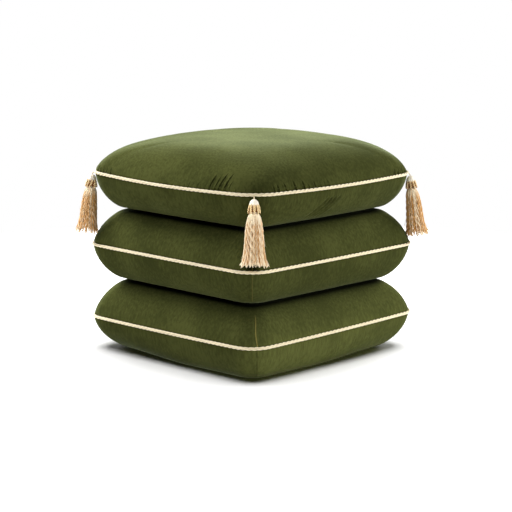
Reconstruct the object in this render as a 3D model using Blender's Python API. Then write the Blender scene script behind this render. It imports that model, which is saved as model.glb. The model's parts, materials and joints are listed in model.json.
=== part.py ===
"""Cube pouf stool: three square velvet cushions stacked flat, each with a rope piping
round its mid-height seam, and a thread tassel at each corner of the top cushion.

Metres, +Z up.  The origin is on the floor under the middle of the stack.  The cushions'
sides lie along X and Y, the corner that points at (+X, -Y) is called near, and going
round counter-clockwise from above come right, far and left.
"""
import math
import random
from typing import NamedTuple

import bmesh
import bpy
from mathutils import Matrix, Vector

# ---- driving dimensions, in metres ------------------------------------------------
CUSHION_HALF_SIDE = 0.2238      # middle of a cushion to its seam, across the sides
STOOL_HEIGHT = 0.4009           # floor to the top of the crown
LOWER_CONTACT = 0.1310          # where the middle cushion lies on the bottom one
UPPER_CONTACT = 0.2660          # where the top cushion lies on the middle one
CONTACT_INSET = 0.0520          # how far the sides roll in before they touch
CONTACT_RADIUS = 0.0300         # corner radius of the patch where two cushions touch
SOFT_GAP = 0.0003               # between pieces that touch

PIPING_DIAMETER = 0.0060
GROOVE_DEPTH = 0.0045           # the seam's valley, which the piping lies in
GROOVE_HALF_HEIGHT = 0.0045
PIPING_PROUD = 0.0002           # middle of the piping outside the cloth's edge

ROLL_POWER_ABOVE = 1.5          # a side's roll: 2 is a round one, less is more pointed
ROLL_POWER_BELOW = 1.75         # the filling settles, so it is fuller below the seam
CROWN_POWER_IN = 5.5            # the crown: flat on top ...
CROWN_POWER_UP = 1.5            # ... and steep at the seam
CROWN_ROUNDING = 0.090          # added to the corner radius from the seam to the middle
CROWN_ROUNDEST = 0.95           # corner radius over half side, at most

ROLL_ANGLES = (15, 30, 45, 60, 75, 90)          # degrees round a side's roll
CROWN_ANGLES = (15, 30, 45, 60, 72, 81, 87)     # degrees from the seam to the top
HALF_SIDE_STEPS = 5             # straight steps from a side's middle to its corner's arc
CORNER_STEPS = 6                # steps round a corner's arc
SMOOTH_UP_TO = math.radians(40)  # faces that meet at less than this are shaded smooth
MERGE_DISTANCE = 1e-6
FACES_DOWN = -0.99              # a face is part of an underside if its normal's Z is below

TASSEL_REACH = 0.0062           # top of the head outside the seam's corner
TASSEL_DROP = 0.0062            # top of the head below the seam
TASSEL_LEAN = math.radians(6.5)  # outwards, as the cushion below pushes it
TASSEL_FLATTENING = 0.72        # the skirt's inner side, pressed by that cushion
TASSEL_LENGTH = 0.1140
TASSEL_SECTORS = 14
TASSEL_SEED = 7
HANGER_DIAMETER = 0.0016
HANGER_PATH = {                 # outside the seam's corner, and above the seam
    "under the piping": (0.0026, -0.0024),
    "knee": (0.0058, -0.0040),
    "over the head": (TASSEL_REACH, -TASSEL_DROP + 0.0006),
}

HEAD_PROFILE = {                # radius and depth below the top of the head
    "crown": (0.0000, 0.0000),
    "dome top": (0.0042, 0.0008),
    "dome": (0.0072, 0.0040),
    "dome side": (0.0085, 0.0088),
    "dome foot": (0.0080, 0.0125),
    "neck top": (0.0060, 0.0145),
    "neck foot": (0.0060, 0.0235),
    "shoulder": (0.0082, 0.0258),
    "skirt outside": (0.0082, 0.0275),
    "skirt middle": (0.0052, 0.0275),
    "skirt inside": (0.0027, 0.0275),
    "centre": (0.0000, 0.0275),
}
LOCK_GAP = 0.0003               # each lock of thread is drawn in by this at its root
SKIRT_FLARE = {                 # share of the skirt's length: its width over the root's
    0.25: 1.92,
    0.60: 2.22,
    1.00: 2.55,
}
LOCK_UNEVENNESS = 0.0022        # the locks' ends differ by up to this

RUFF_PROFILE = {                # radius and depth of the collar's section
    "inner top": (0.0064, 0.0149),
    "inner foot": (0.0064, 0.0230),
    "outer foot": (0.0118, 0.0252),
    "belly": (0.0120, 0.0215),
    "outer top": (0.0088, 0.0152),
}
RUFF_LOOPS = 12
RUFF_WAVE = 0.09                # depth of the loops, as a share of the outer radius

CORNERS = {"near": -45, "right": 45, "far": 135, "left": -135}      # degrees from +X
SIDES = {"near_left": -90, "near_right": 0, "far_right": 90, "far_left": 180}


class Cushion(NamedTuple):
    """One cushion of the stack."""
    name: str
    floor: float            # height of its underside
    seam: float             # height of its seam at the corners, on average
    roof: float             # height of its top
    crowned: bool           # the top one has a free crown, the others carry a cushion
    corner_radius: float    # of the seam's outline
    bow: float              # the sides swell out by this at their middle
    turn: float             # degrees, counter-clockwise from above
    rise: float             # slope of the seam from the left corner to the right one
    sag: dict               # how far the seam hangs at the middle of each side


CUSHIONS = (
    Cushion(name="bottom", floor=0.0, seam=0.0649, roof=LOWER_CONTACT - SOFT_GAP,
            crowned=False, corner_radius=0.044, bow=0.003, turn=0.6, rise=0.0113,
            sag=dict(near_left=0.0, near_right=0.0, far_right=0.001, far_left=0.001)),
    Cushion(name="middle", floor=LOWER_CONTACT, seam=0.1995, roof=UPPER_CONTACT - SOFT_GAP,
            crowned=False, corner_radius=0.046, bow=0.002, turn=0.2, rise=0.0012,
            sag=dict(near_left=0.0, near_right=0.0, far_right=0.001, far_left=0.001)),
    Cushion(name="top", floor=UPPER_CONTACT, seam=0.3343, roof=STOOL_HEIGHT,
            crowned=True, corner_radius=0.060, bow=0.010, turn=1.0, rise=-0.0073,
            sag=dict(near_left=0.0026, near_right=0.0010, far_right=0.002,
                     far_left=0.003)),
)


# ---- finishes -----------------------------------------------------------------------
def finish(name, colour, roughness, sheen=0.0):
    """A plain material of one colour, given as linear red, green and blue."""
    material = bpy.data.materials.new(name)
    material.use_nodes = True
    shader = material.node_tree.nodes["Principled BSDF"]
    shader.inputs["Base Color"].default_value = (*colour, 1.0)
    shader.inputs["Roughness"].default_value = roughness
    shader.inputs["Metallic"].default_value = 0.0
    shader.inputs["Sheen Weight"].default_value = sheen
    return material


# ---- shapes -------------------------------------------------------------------------
def rounded_square(half_side, radius, bow):
    """Points round a square with round corners, counter-clockwise from the +X side."""
    straight = half_side - radius
    quarter = []
    for step in range(HALF_SIDE_STEPS):
        along = straight * step / HALF_SIDE_STEPS
        swell = bow * (1 - (along / straight) ** 2)
        quarter.append(Vector((half_side + swell, along)))
    for step in range(CORNER_STEPS + 1):
        turn = math.pi / 2 * step / CORNER_STEPS
        quarter.append(Vector((straight + radius * math.cos(turn),
                               straight + radius * math.sin(turn))))
    for step in range(HALF_SIDE_STEPS - 1, 0, -1):
        along = straight * step / HALF_SIDE_STEPS
        swell = bow * (1 - (along / straight) ** 2)
        quarter.append(Vector((along, half_side + swell)))
    points = []
    for side in range(4):
        points += [Matrix.Rotation(math.pi / 2 * side, 2) @ point for point in quarter]
    return points


def seam_height(cushion, x, y):
    """Height of the seam beside a point: it tilts and sags between the corners."""
    across = (x + y) / math.sqrt(2)
    around = math.atan2(y, x)
    height = cushion.seam + cushion.rise * across
    for side, bearing in SIDES.items():
        nearness = math.cos(2 * (around - math.radians(bearing)))
        ahead = math.cos(around - math.radians(bearing)) > 0
        if ahead and nearness > 0:
            height -= cushion.sag[side] * nearness
    return height


def rolled(power_in, power_up, degrees):
    """Reach and rise, both 1 to 0 or 0 to 1, at an angle round a roll's section."""
    angle = math.radians(degrees)
    return math.cos(angle) ** (2 / power_in), math.sin(angle) ** (2 / power_up)


def ring(cushion, half_side, radius, bow, rise=0.0, end=0.0):
    """One section of a cushion: an outline, part of the way from the seam to a height."""
    points = []
    for x, y in rounded_square(half_side, radius, bow):
        seam = seam_height(cushion, x, y)
        points.append(Vector((x, y, seam + (end - seam) * rise)))
    return points


def roll_rings(cushion, end, power):
    """The sections from the seam to the patch where the cushion touches another."""
    rings = [groove_edge(cushion, end)]
    for degrees in ROLL_ANGLES:
        reach, rise = rolled(power, power, degrees)
        radius = CONTACT_RADIUS + (cushion.corner_radius - CONTACT_RADIUS) * reach
        half_side = CUSHION_HALF_SIDE - CONTACT_INSET * (1 - reach)
        rings.append(ring(cushion, half_side, radius, cushion.bow * reach, rise, end))
    return rings


def crown_rings(cushion):
    """The sections from the seam to the top of a free crown."""
    rings = [groove_edge(cushion, cushion.roof)]
    for degrees in CROWN_ANGLES:
        reach, rise = rolled(CROWN_POWER_IN, CROWN_POWER_UP, degrees)
        half_side = CUSHION_HALF_SIDE * reach
        radius = cushion.corner_radius + CROWN_ROUNDING * (1 - reach)
        radius = min(radius, CROWN_ROUNDEST * half_side)
        rings.append(ring(cushion, half_side, radius, cushion.bow * reach, rise,
                          cushion.roof))
    return rings


def groove_edge(cushion, end):
    """The cloth's outermost line, just above or just below the piping."""
    rise = GROOVE_HALF_HEIGHT / abs(end - cushion.seam)
    return ring(cushion, CUSHION_HALF_SIDE, cushion.corner_radius, cushion.bow, rise, end)


def groove_valley(cushion):
    """The seam itself, at the bottom of the groove."""
    return ring(cushion, CUSHION_HALF_SIDE - GROOVE_DEPTH,
                cushion.corner_radius - GROOVE_DEPTH, cushion.bow)


def skin(name, rings):
    """A closed mesh over rings of points, lowest first, each counter-clockwise."""
    shape = bmesh.new()
    rows = [[shape.verts.new(point) for point in points] for points in rings]
    count = len(rows[0])
    shape.faces.new(list(reversed(rows[0])))
    for lower, upper in zip(rows, rows[1:]):
        for here in range(count):
            after = (here + 1) % count
            shape.faces.new((lower[here], lower[after], upper[after], upper[here]))
    shape.faces.new(rows[-1])
    return to_mesh(name, shape)


def to_mesh(name, shape):
    """Turn a bmesh into a mesh, smooth but for its sharp edges."""
    mesh = bpy.data.meshes.new(name)
    shape.to_mesh(mesh)
    shape.free()
    mesh.shade_smooth()
    mesh.set_sharp_from_angle(angle=SMOOTH_UP_TO)
    return mesh


def add_object(name, data, material, collection, place=Matrix.Identity(4)):
    """Put a mesh or a curve in the collection as one named piece."""
    piece = bpy.data.objects.new(name, data)
    piece.data.materials.append(material)
    piece.matrix_world = place
    collection.objects.link(piece)
    return piece


# ---- pieces -------------------------------------------------------------------------
def cushion_mesh(cushion):
    """A filled cushion: rolled sides, a groove at the seam, flat where it touches."""
    below = list(reversed(roll_rings(cushion, cushion.floor, ROLL_POWER_BELOW)))
    if cushion.crowned:
        above = crown_rings(cushion)
    else:
        above = roll_rings(cushion, cushion.roof, ROLL_POWER_ABOVE)
    return skin("cushion_" + cushion.name, below + [groove_valley(cushion)] + above)


def piping_curve(cushion):
    """The rope round a cushion's seam, as one closed round cord."""
    path = ring(cushion, CUSHION_HALF_SIDE + PIPING_PROUD,
                cushion.corner_radius + PIPING_PROUD, cushion.bow)
    return cord_curve("piping_" + cushion.name, path, PIPING_DIAMETER, closed=True)


def cord_curve(name, path, diameter, closed):
    """A round cord along a path."""
    curve = bpy.data.curves.new(name, "CURVE")
    curve.dimensions = "3D"
    curve.twist_mode = "Z_UP" if closed else "MINIMUM"
    curve.bevel_depth = diameter / 2
    curve.bevel_resolution = 2
    curve.use_fill_caps = not closed
    spline = curve.splines.new("POLY")
    spline.points.add(len(path) - 1)
    for point, place in zip(spline.points, path):
        point.co = (*place, 1.0)
    spline.use_cyclic_u = closed
    return curve


def tassel_mesh(name, chance):
    """A wound head and, fused in its underside, the locks of the skirt.

    The tassel hangs down from the origin.  The head's section is spun about Z, and each
    face of its underside is drawn in and pulled down into one lock of thread.
    """
    shape = bmesh.new()
    section = [shape.verts.new((radius, 0, -depth))
               for radius, depth in HEAD_PROFILE.values()]
    edges = [shape.edges.new(pair) for pair in zip(section, section[1:])]
    bmesh.ops.spin(shape, geom=section + edges, axis=(0, 0, 1), cent=(0, 0, 0),
                   angle=2 * math.pi, steps=TASSEL_SECTORS, use_merge=True)
    bmesh.ops.remove_doubles(shape, verts=shape.verts, dist=MERGE_DISTANCE)
    bmesh.ops.recalc_face_normals(shape, faces=shape.faces)

    root_depth = HEAD_PROFILE["centre"][1]
    locks = [face for face in shape.faces
             if len(face.verts) == 4 and face.normal.z < FACES_DOWN]
    bmesh.ops.inset_individual(shape, faces=locks, thickness=LOCK_GAP)
    lengths = [TASSEL_LENGTH - root_depth + chance.uniform(-1, 1) * LOCK_UNEVENNESS
               for _ in locks]
    width = 1.0
    pressed = TASSEL_FLATTENING
    for share, flare in SKIRT_FLARE.items():
        locks = bmesh.ops.extrude_discrete_faces(shape, faces=locks)["faces"]
        for lock, length in zip(locks, lengths):
            for corner in lock.verts:
                inner_side = corner.co.x < 0
                corner.co.x *= flare / width * (pressed if inner_side else 1.0)
                corner.co.y *= flare / width
                corner.co.z = -root_depth - length * share
        width = flare
        pressed = 1.0
    return to_mesh(name, shape)


def ruff_mesh(name):
    """The collar round a tassel's neck: a ring whose outside swells into loops."""
    shape = bmesh.new()
    section = [shape.verts.new((radius, 0, -depth))
               for radius, depth in RUFF_PROFILE.values()]
    edges = [shape.edges.new(pair) for pair in zip(section, section[1:] + section[:1])]
    bmesh.ops.spin(shape, geom=section + edges, axis=(0, 0, 1), cent=(0, 0, 0),
                   angle=2 * math.pi, steps=2 * RUFF_LOOPS, use_merge=True)
    bmesh.ops.remove_doubles(shape, verts=shape.verts, dist=MERGE_DISTANCE)
    bmesh.ops.recalc_face_normals(shape, faces=shape.faces)
    neck = RUFF_PROFILE["inner top"][0]
    for point in shape.verts:
        radius = math.hypot(point.co.x, point.co.y)
        if radius > neck + SOFT_GAP:
            around = math.atan2(point.co.y, point.co.x)
            swell = 1 + RUFF_WAVE * math.cos(RUFF_LOOPS * around)
            point.co.x *= swell
            point.co.y *= swell
    return to_mesh(name, shape)


def seam_corner(cushion):
    """Distance from the middle of a cushion to its seam's corner."""
    straight = CUSHION_HALF_SIDE - cushion.corner_radius
    return straight * math.sqrt(2) + cushion.corner_radius


def corner_seam_height(cushion, bearing):
    """Height of the seam at a corner."""
    reach = seam_corner(cushion)
    return seam_height(cushion, reach * math.cos(bearing), reach * math.sin(bearing))


def tassel_place(cushion, bearing):
    """Where a tassel hangs: outside a corner, leaning out, under the piping."""
    reach = seam_corner(cushion) + TASSEL_REACH
    height = corner_seam_height(cushion, bearing) - TASSEL_DROP
    outwards = Matrix.Rotation(bearing + math.radians(cushion.turn), 4, "Z")
    lean = Matrix.Rotation(-TASSEL_LEAN, 4, "Y")
    return outwards @ Matrix.Translation((reach, 0, height)) @ lean


def hanger_path(cushion, bearing):
    """From under the piping out to the top of the tassel's head."""
    reach = seam_corner(cushion)
    seam = corner_seam_height(cushion, bearing)
    turn = Matrix.Rotation(bearing + math.radians(cushion.turn), 4, "Z")
    return [turn @ Vector((reach + outside, 0, seam + above))
            for outside, above in HANGER_PATH.values()]


def build():
    """Model the stool."""
    for left_over in list(bpy.data.objects):
        bpy.data.objects.remove(left_over)
    stool = bpy.data.collections.new("cube_pouf_stool")
    bpy.context.scene.collection.children.link(stool)

    velvet = finish("olive velvet", (0.070, 0.085, 0.025), 0.75, sheen=0.6)
    rope = finish("cream rope", (0.86, 0.72, 0.47), 0.55)
    thread = finish("gold-beige thread", (0.66, 0.44, 0.24), 0.45)
    loops = finish("looped thread", (0.60, 0.38, 0.18), 0.50)
    tie = finish("tassel cord", (0.80, 0.64, 0.40), 0.55)

    for cushion in CUSHIONS:
        turn = Matrix.Rotation(math.radians(cushion.turn), 4, "Z")
        add_object("cushion_" + cushion.name, cushion_mesh(cushion), velvet, stool, turn)
        add_object("piping_" + cushion.name, piping_curve(cushion), rope, stool, turn)

    top = CUSHIONS[-1]
    chance = random.Random(TASSEL_SEED)
    skirt = tassel_mesh("tassel", chance)
    collar = ruff_mesh("tassel_ruff")
    for corner, degrees in CORNERS.items():
        bearing = math.radians(degrees)
        place = tassel_place(top, bearing)
        add_object("tassel_" + corner, skirt.copy(), thread, stool, place)
        add_object("tassel_ruff_" + corner, collar.copy(), loops, stool, place)
        tie_name = "tassel_hanger_" + corner
        cord = cord_curve(tie_name, hanger_path(top, bearing), HANGER_DIAMETER,
                          closed=False)
        add_object(tie_name, cord, tie, stool)


build()
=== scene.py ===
"""Looks of the cube pouf stool: three velvet cushions, rope piping and thread tassels.

Metres, +Z up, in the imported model's frame.  The cushions' sides lie along X and Y.  The
corner that points at (+X, -Y) is called near, and going round counter-clockwise from
above come right, far and left.  A cushion's own frame is the model's, turned about Z.
"""

import json
import math
import random
from typing import NamedTuple

import bmesh
import bpy
import numpy as np
from mathutils import Matrix, Vector, noise
from mathutils.bvhtree import BVHTree

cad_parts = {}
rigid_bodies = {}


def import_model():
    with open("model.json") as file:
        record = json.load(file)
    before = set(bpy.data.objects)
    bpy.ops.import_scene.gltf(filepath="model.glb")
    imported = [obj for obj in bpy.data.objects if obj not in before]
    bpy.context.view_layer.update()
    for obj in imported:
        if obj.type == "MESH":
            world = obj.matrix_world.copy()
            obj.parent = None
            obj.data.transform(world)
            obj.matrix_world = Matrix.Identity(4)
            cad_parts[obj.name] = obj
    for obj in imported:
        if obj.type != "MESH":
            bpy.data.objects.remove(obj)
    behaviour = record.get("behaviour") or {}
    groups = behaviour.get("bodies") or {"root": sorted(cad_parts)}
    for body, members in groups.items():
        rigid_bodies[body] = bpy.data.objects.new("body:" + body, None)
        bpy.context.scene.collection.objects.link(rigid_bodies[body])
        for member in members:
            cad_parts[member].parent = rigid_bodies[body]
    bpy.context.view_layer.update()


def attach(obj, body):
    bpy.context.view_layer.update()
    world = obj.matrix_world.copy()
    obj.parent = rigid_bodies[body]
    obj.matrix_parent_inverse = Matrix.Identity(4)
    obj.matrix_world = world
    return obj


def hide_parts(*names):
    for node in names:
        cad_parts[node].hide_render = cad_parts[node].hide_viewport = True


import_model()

MM = 0.001
MERGE_DISTANCE = 0.01 * MM

# ---- the construction's sizes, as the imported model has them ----
HALF_SIDE = 0.2238          # middle of a cushion to its seam, across the sides
SEAM_VALLEY = 2.4 * MM      # how deep the seam lies in the cloth
PIPING_PROUD = 0.2 * MM     # middle of the piping outside the cloth's edge
PIPING_RADIUS = 3.0 * MM
CORNERS = {"near": -45, "right": 45, "far": 135, "left": -135}  # degrees from +X
NEAR, RIGHT, FAR, LEFT = range(4)
SIDES = (-90, 0, 90, 180)   # near left, near right, far right and far left


class Cushion(NamedTuple):
    """One cushion of the stack."""
    name: str
    floor: float            # height of its underside
    seam: float             # height of its seam at the corners, on average
    roof: float             # height of its top
    corner_radius: float    # of the seam's outline
    bow: float              # the sides swell out by this at their middle
    turn: float             # degrees, counter-clockwise from above
    rise: float             # slope of the seam from the left corner to the right one
    sag: tuple              # how far the seam hangs at the middle of each of SIDES
    voxel: float            # mesh size of the filled cloth
    corner_seam: tuple = () # how far its corners' seams are beside the corners above and
                            # below the piping, and how much they part the pile there


BOTTOM = Cushion(name="bottom", floor=0.0, seam=0.0649, roof=0.1307, corner_radius=0.044,
                 bow=0.003, turn=0.6, rise=0.0113, sag=(0.0, 0.0, 0.001, 0.001),
                 voxel=0.0075, corner_seam=(5.0 * MM, 8.0 * MM, 1.0, 0.05))
MIDDLE = Cushion(name="middle", floor=0.1310, seam=0.1995, roof=0.2657,
                 corner_radius=0.046, bow=0.002, turn=0.2, rise=0.0012,
                 sag=(0.0, 0.0, 0.001, 0.001), voxel=0.0075,
                 corner_seam=(1.0 * MM, 1.0 * MM, 0.25, 0.25))
TOP = Cushion(name="top", floor=0.2660, seam=0.3343, roof=0.4009, corner_radius=0.060,
              bow=0.010, turn=1.0, rise=-0.0073, sag=(0.0026, 0.0010, 0.002, 0.003),
              voxel=0.0068)
CUSHIONS = (BOTTOM, MIDDLE, TOP)


# ---- working with one piece at a time ----
def only(piece):
    """Select this piece alone and make it the active one."""
    bpy.ops.object.select_all(action="DESELECT")
    piece.select_set(True)
    bpy.context.view_layer.objects.active = piece


def new_piece(name, data):
    """An object made from its data: a piece's mesh or curve, a lamp or a camera."""
    piece = bpy.data.objects.new(name, data)
    bpy.context.scene.collection.objects.link(piece)
    only(piece)
    return piece


def apply_modifiers(piece):
    """Apply all of a piece's modifiers, in their order."""
    only(piece)
    for modifier in list(piece.modifiers):
        bpy.ops.object.modifier_apply(modifier=modifier.name)


def tidy_mesh(piece, close_ends=False):
    """Close open ends if told to, merge doubled points and turn every face outwards."""
    only(piece)
    bpy.ops.object.mode_set(mode="EDIT")
    bpy.ops.mesh.select_all(action="SELECT")
    if close_ends:
        bpy.ops.mesh.fill_holes(sides=0)
        bpy.ops.mesh.select_all(action="SELECT")
    bpy.ops.mesh.remove_doubles(threshold=MERGE_DISTANCE)
    bpy.ops.mesh.normals_make_consistent(inside=False)
    bpy.ops.object.mode_set(mode="OBJECT")


def skin(name, outlines, turn=0.0):
    """A closed piece over outlines, lowest first, turned about Z by some degrees."""
    shape = bmesh.new()
    rows = [[shape.verts.new(point) for point in outline] for outline in outlines]
    shape.faces.new(list(reversed(rows[0])))
    for lower, upper in zip(rows, rows[1:]):
        for here in range(len(lower)):
            shape.faces.new((lower[here - 1], lower[here], upper[here], upper[here - 1]))
    shape.faces.new(rows[-1])
    shape.transform(Matrix.Rotation(math.radians(turn), 4, "Z"))
    mesh = bpy.data.meshes.new(name)
    shape.to_mesh(mesh)
    shape.free()
    return new_piece(name, mesh)


def numbers_of(items, name, width=3, kind=float):
    """What a mesh's items hold under a name, as rows of so many numbers."""
    values = np.empty(len(items) * width, kind)
    items.foreach_get(name, values)
    return values.reshape(-1, width)


def points_of(piece):
    """The piece's points, as rows of x, y and z."""
    return numbers_of(piece.data.vertices, "co")


def move_points(piece, places):
    """Put the piece's points at these places."""
    piece.data.vertices.foreach_set("co", places.ravel())
    piece.data.update()


def paint(piece, name, values):
    """Store a number for each point, or one for all, for a material to read."""
    layer = piece.data.attributes.new(name, "FLOAT", "POINT")
    layer.data.foreach_set("value", np.full(len(layer.data), values, np.float32))


def smoothstep(low, high, value):
    """0 below low, 1 above high, and a smooth rise between."""
    share = np.clip((value - low) / (high - low), 0, 1)
    return share * share * (3 - 2 * share)


def bell(value, width, middle=0.0):
    """1 at the middle, and next to nothing two widths away."""
    return np.exp(-((value - middle) / width) ** 2)


# ---- materials ----
def linear(colour):
    """An sRGB hex colour as linear red, green, blue and alpha."""
    parts = [int(colour[place:place + 2], 16) / 255 for place in (0, 2, 4)]
    return (*[part / 12.92 if part <= 0.04045 else ((part + 0.055) / 1.055) ** 2.4
              for part in parts], 1.0)


def connect(tree, node, **links):
    """Link sockets to a node's inputs, by their name."""
    for name, socket in links.items():
        tree.links.new(socket, node.inputs[name.replace("_", " ")])


def add_node(tree, kind, settings=None, gives=0, **links):
    """Add a node and give one of its outputs.  Settings go to its properties, or to its
    sockets by their name."""
    node = tree.nodes.new("ShaderNode" + kind)
    for name, value in (settings or {}).items():
        if name in node.inputs:
            node.inputs[name].default_value = value
        else:
            setattr(node, name, value)
    connect(tree, node, **links)
    return node.outputs[gives]


def new_material(name, **sockets):
    """A Principled material with these constant sockets."""
    material = bpy.data.materials.new(name)
    material.use_nodes = True
    shader = material.node_tree.nodes["Principled BSDF"]
    for socket, value in sockets.items():
        shader.inputs[socket.replace("_", " ")].default_value = value
    return material, material.node_tree, shader


def ramp(tree, factor, stops):
    """A colour ramp over a factor, from rows of position and hex colour."""
    colour = add_node(tree, "ValToRGB", Fac=factor)
    elements = colour.node.color_ramp.elements
    while len(elements) < len(stops):
        elements.new(0.5)
    for element, (position, shade) in zip(elements, stops):
        element.position = position
        element.color = linear(shade)
    return colour


def calculate(tree, operation, *values):
    """A Math node over sockets and numbers."""
    result = add_node(tree, "Math", {"operation": operation})
    for socket, value in zip(result.node.inputs, values):
        if isinstance(value, bpy.types.NodeSocket):
            tree.links.new(value, socket)
        else:
            socket.default_value = value
    return result


def cotton_velvet():
    """Cut-pile cotton velvet, dyed olive: nearly black in its depth, with a pale bloom
    where the pile is seen along its tips, soft brushed streaks and a fine grain.  The
    closed attribute darkens its colour and bloom as painted shade in folds, in the
    crevices between cushions and under the tassels' tips.  Where it is below zero, on the
    folds' ridges, it lightens them as a painted highlight."""
    material, tree, shader = new_material(
        "cotton_velvet_cut_pile", Roughness=0.8, Specular_IOR_Level=0.0,
        Sheen_Roughness=0.3, Sheen_Tint=linear("EEFFCE"))
    place = add_node(tree, "TexCoord", gives="Object")
    stretched = add_node(tree, "Mapping", {"Scale": (1.0, 1.0, 0.07)}, Vector=place)
    # brushed streaks about 4 mm wide, along the pile
    streaks = add_node(tree, "TexNoise", {"Scale": 260.0, "Detail": 2.0},
                       Vector=stretched)
    # patches of a hand's breadth where the pile leans another way
    patches = add_node(tree, "TexNoise", {"Scale": 12.0, "Detail": 1.0}, Vector=place)
    # tufts of the pile, about 0.3 mm on real velvet and drawn at 1.2 mm to show
    tufts = add_node(tree, "TexNoise", {"Scale": 850.0, "Detail": 2.0}, Vector=place)
    brushed = calculate(tree, "MULTIPLY_ADD", streaks, 1.2, patches)
    grained = calculate(tree, "MULTIPLY_ADD", tufts, 0.7, brushed)
    grained = calculate(tree, "DIVIDE", grained, 2.9)
    colour = ramp(tree, grained, ((0.41, "323519"), (0.50, "393C1D"), (0.59, "414422")))
    # closed holds painted shade, and painted highlight where it is below zero; depth
    # scales colour and bloom by it
    closed = add_node(tree, "Attribute", {"attribute_name": "closed"}, gives="Fac")
    depth = calculate(tree, "MULTIPLY_ADD", closed, -0.8, 1.0)
    colour = add_node(tree, "VectorMath", {"operation": "SCALE"}, Vector=colour,
                      Scale=depth)
    parted = add_node(tree, "Attribute", {"attribute_name": "parted"}, gives="Fac")
    colour = add_node(tree, "MixRGB", {"Color2": linear("857B42")}, Fac=parted,
                      Color1=colour)
    bloom = calculate(tree, "MULTIPLY_ADD", grained, 0.22, 0.05)
    bloom = calculate(tree, "MULTIPLY", bloom, depth)
    bump = add_node(tree, "Bump", {"Strength": 0.2, "Distance": 0.4 * MM}, Height=tufts)
    connect(tree, shader, Base_Color=colour, Sheen_Weight=bloom, Normal=bump)
    return material


def viscose(name, pale, deep, roughness=0.4, sheen=0.1, threads=900.0, depth=0.2 * MM):
    """Viscose thread: a silky, slightly wet-looking gloss and a fine grain.  Its colour
    runs from deep to pale with the shade attribute, which on the tassels holds painted
    shade and painted highlights as well as the threads' own tone."""
    material, tree, shader = new_material(
        name, Roughness=roughness, Specular_IOR_Level=0.4, Sheen_Weight=sheen,
        Sheen_Roughness=0.4, Sheen_Tint=linear(pale))
    place = add_node(tree, "TexCoord", gives="Object")
    hairs = add_node(tree, "TexNoise", {"Scale": threads, "Detail": 2.0}, Vector=place)
    shade = add_node(tree, "Attribute", {"attribute_name": "shade"}, gives="Fac")
    mixed = calculate(tree, "MULTIPLY_ADD", hairs, 0.5, shade)
    colour = ramp(tree, mixed, ((0.25, deep), (1.0, pale)))
    bump = add_node(tree, "Bump", {"Strength": 0.3, "Distance": depth}, Height=hairs)
    connect(tree, shader, Base_Color=colour, Normal=bump)
    return material


# ---- the seam's outline ----
SIDE_STEPS = 16             # straight steps from a side's middle to its corner's arc
CORNER_STEPS = 14           # steps round a corner's arc


def seam_height(cushion, x, y):
    """Height of the seam beside a point of the cushion's own frame."""
    around = np.arctan2(y, x)
    height = cushion.seam + cushion.rise * (x + y) / math.sqrt(2)
    for sag, bearing in zip(cushion.sag, SIDES):
        turn = around - math.radians(bearing)
        near = np.where(np.cos(turn) > 0, np.clip(np.cos(2 * turn), 0, None), 0.0)
        height = height - sag * near
    return height


def rounded_square(half_side, radius, bow):
    """Points round a square with round corners, counter-clockwise from the +X side."""
    straight = half_side - radius
    side = []
    for step in range(SIDE_STEPS):
        along = straight * step / SIDE_STEPS
        side.append((half_side + bow * (1 - (along / straight) ** 2), along))
    arc = [math.pi / 2 * step / CORNER_STEPS for step in range(CORNER_STEPS + 1)]
    quarter = side + [(straight + radius * math.cos(turn),
                       straight + radius * math.sin(turn)) for turn in arc]
    quarter += [(along, over) for over, along in side[:0:-1]]
    return [Matrix.Rotation(math.pi / 2 * number, 2) @ Vector(point)
            for number in range(4) for point in quarter]


def beside_seam(pad, cushion):
    """Where the piece's points lie beside the seam.

    Gives for each point its height above the seam, its distance outside the seam's
    outline, its distance along it from the nearest corner, which is positive
    counter-clockwise, and that corner's number, such as NEAR.
    """
    turn = np.array(Matrix.Rotation(math.radians(-cushion.turn), 3, "Z"))
    x, y, z = (points_of(pad) @ turn.T).T
    corner = np.round((np.degrees(np.arctan2(y, x)) + 45) / 90).astype(int) % 4
    turn = np.radians(90.0 - 90.0 * corner)
    u = x * np.cos(turn) - y * np.sin(turn)
    v = x * np.sin(turn) + y * np.cos(turn)
    straight = HALF_SIDE - cushion.corner_radius
    half_arc = cushion.corner_radius * math.pi / 4
    on_arc = (u > straight) & (v > straight)
    over, ahead = np.maximum(u, v), np.minimum(u, v)
    swell = cushion.bow * (1 - (ahead / straight) ** 2)
    outside = np.where(on_arc,
                       np.hypot(u - straight, v - straight) - cushion.corner_radius,
                       over - HALF_SIDE - swell)
    round_it = np.arctan2(v - straight, u - straight) - math.pi / 4
    along = np.where(on_arc, round_it * cushion.corner_radius,
                     np.sign(v - u) * (half_arc + straight - ahead))
    return z - seam_height(cushion, x, y), outside, along, corner


# ---- cushions ----
CONTACT_INSET = 0.0520      # how far the sides roll in before they touch
CONTACT_RADIUS = 0.0300     # corner radius of the patch where two cushions touch
FOOT_EVEN = 0.055           # the stack presses the bottom cushion's foot wider by these
FOOT_LONG = 0.040           # shares: evenly, towards its near and far corners,
FOOT_SIDES = -0.035         # and at the middle of its sides
ROLL_POWER_ABOVE = 1.5      # a side's roll: 2 is a round one, less is more pointed
ROLL_POWER_BELOW = 1.75     # the filling settles, so it is fuller below the seam
CROWN_POWER_IN = 5.5        # the crown: flat on top ...
CROWN_POWER_UP = 1.5        # ... and steep at the seam
CROWN_ROUNDING = 0.090      # added to the corner radius from the seam to the middle
CROWN_ROUNDEST = 0.95       # corner radius over half side, at most
ROLL_ANGLES = range(6, 91, 6)   # degrees round a side's roll
CROWN_ANGLES = range(5, 61, 5)  # degrees from the seam to the crown's shoulder
CROWN_REACHES = range(74, 5, -4)  # percent of the half side, from there to the middle

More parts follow.
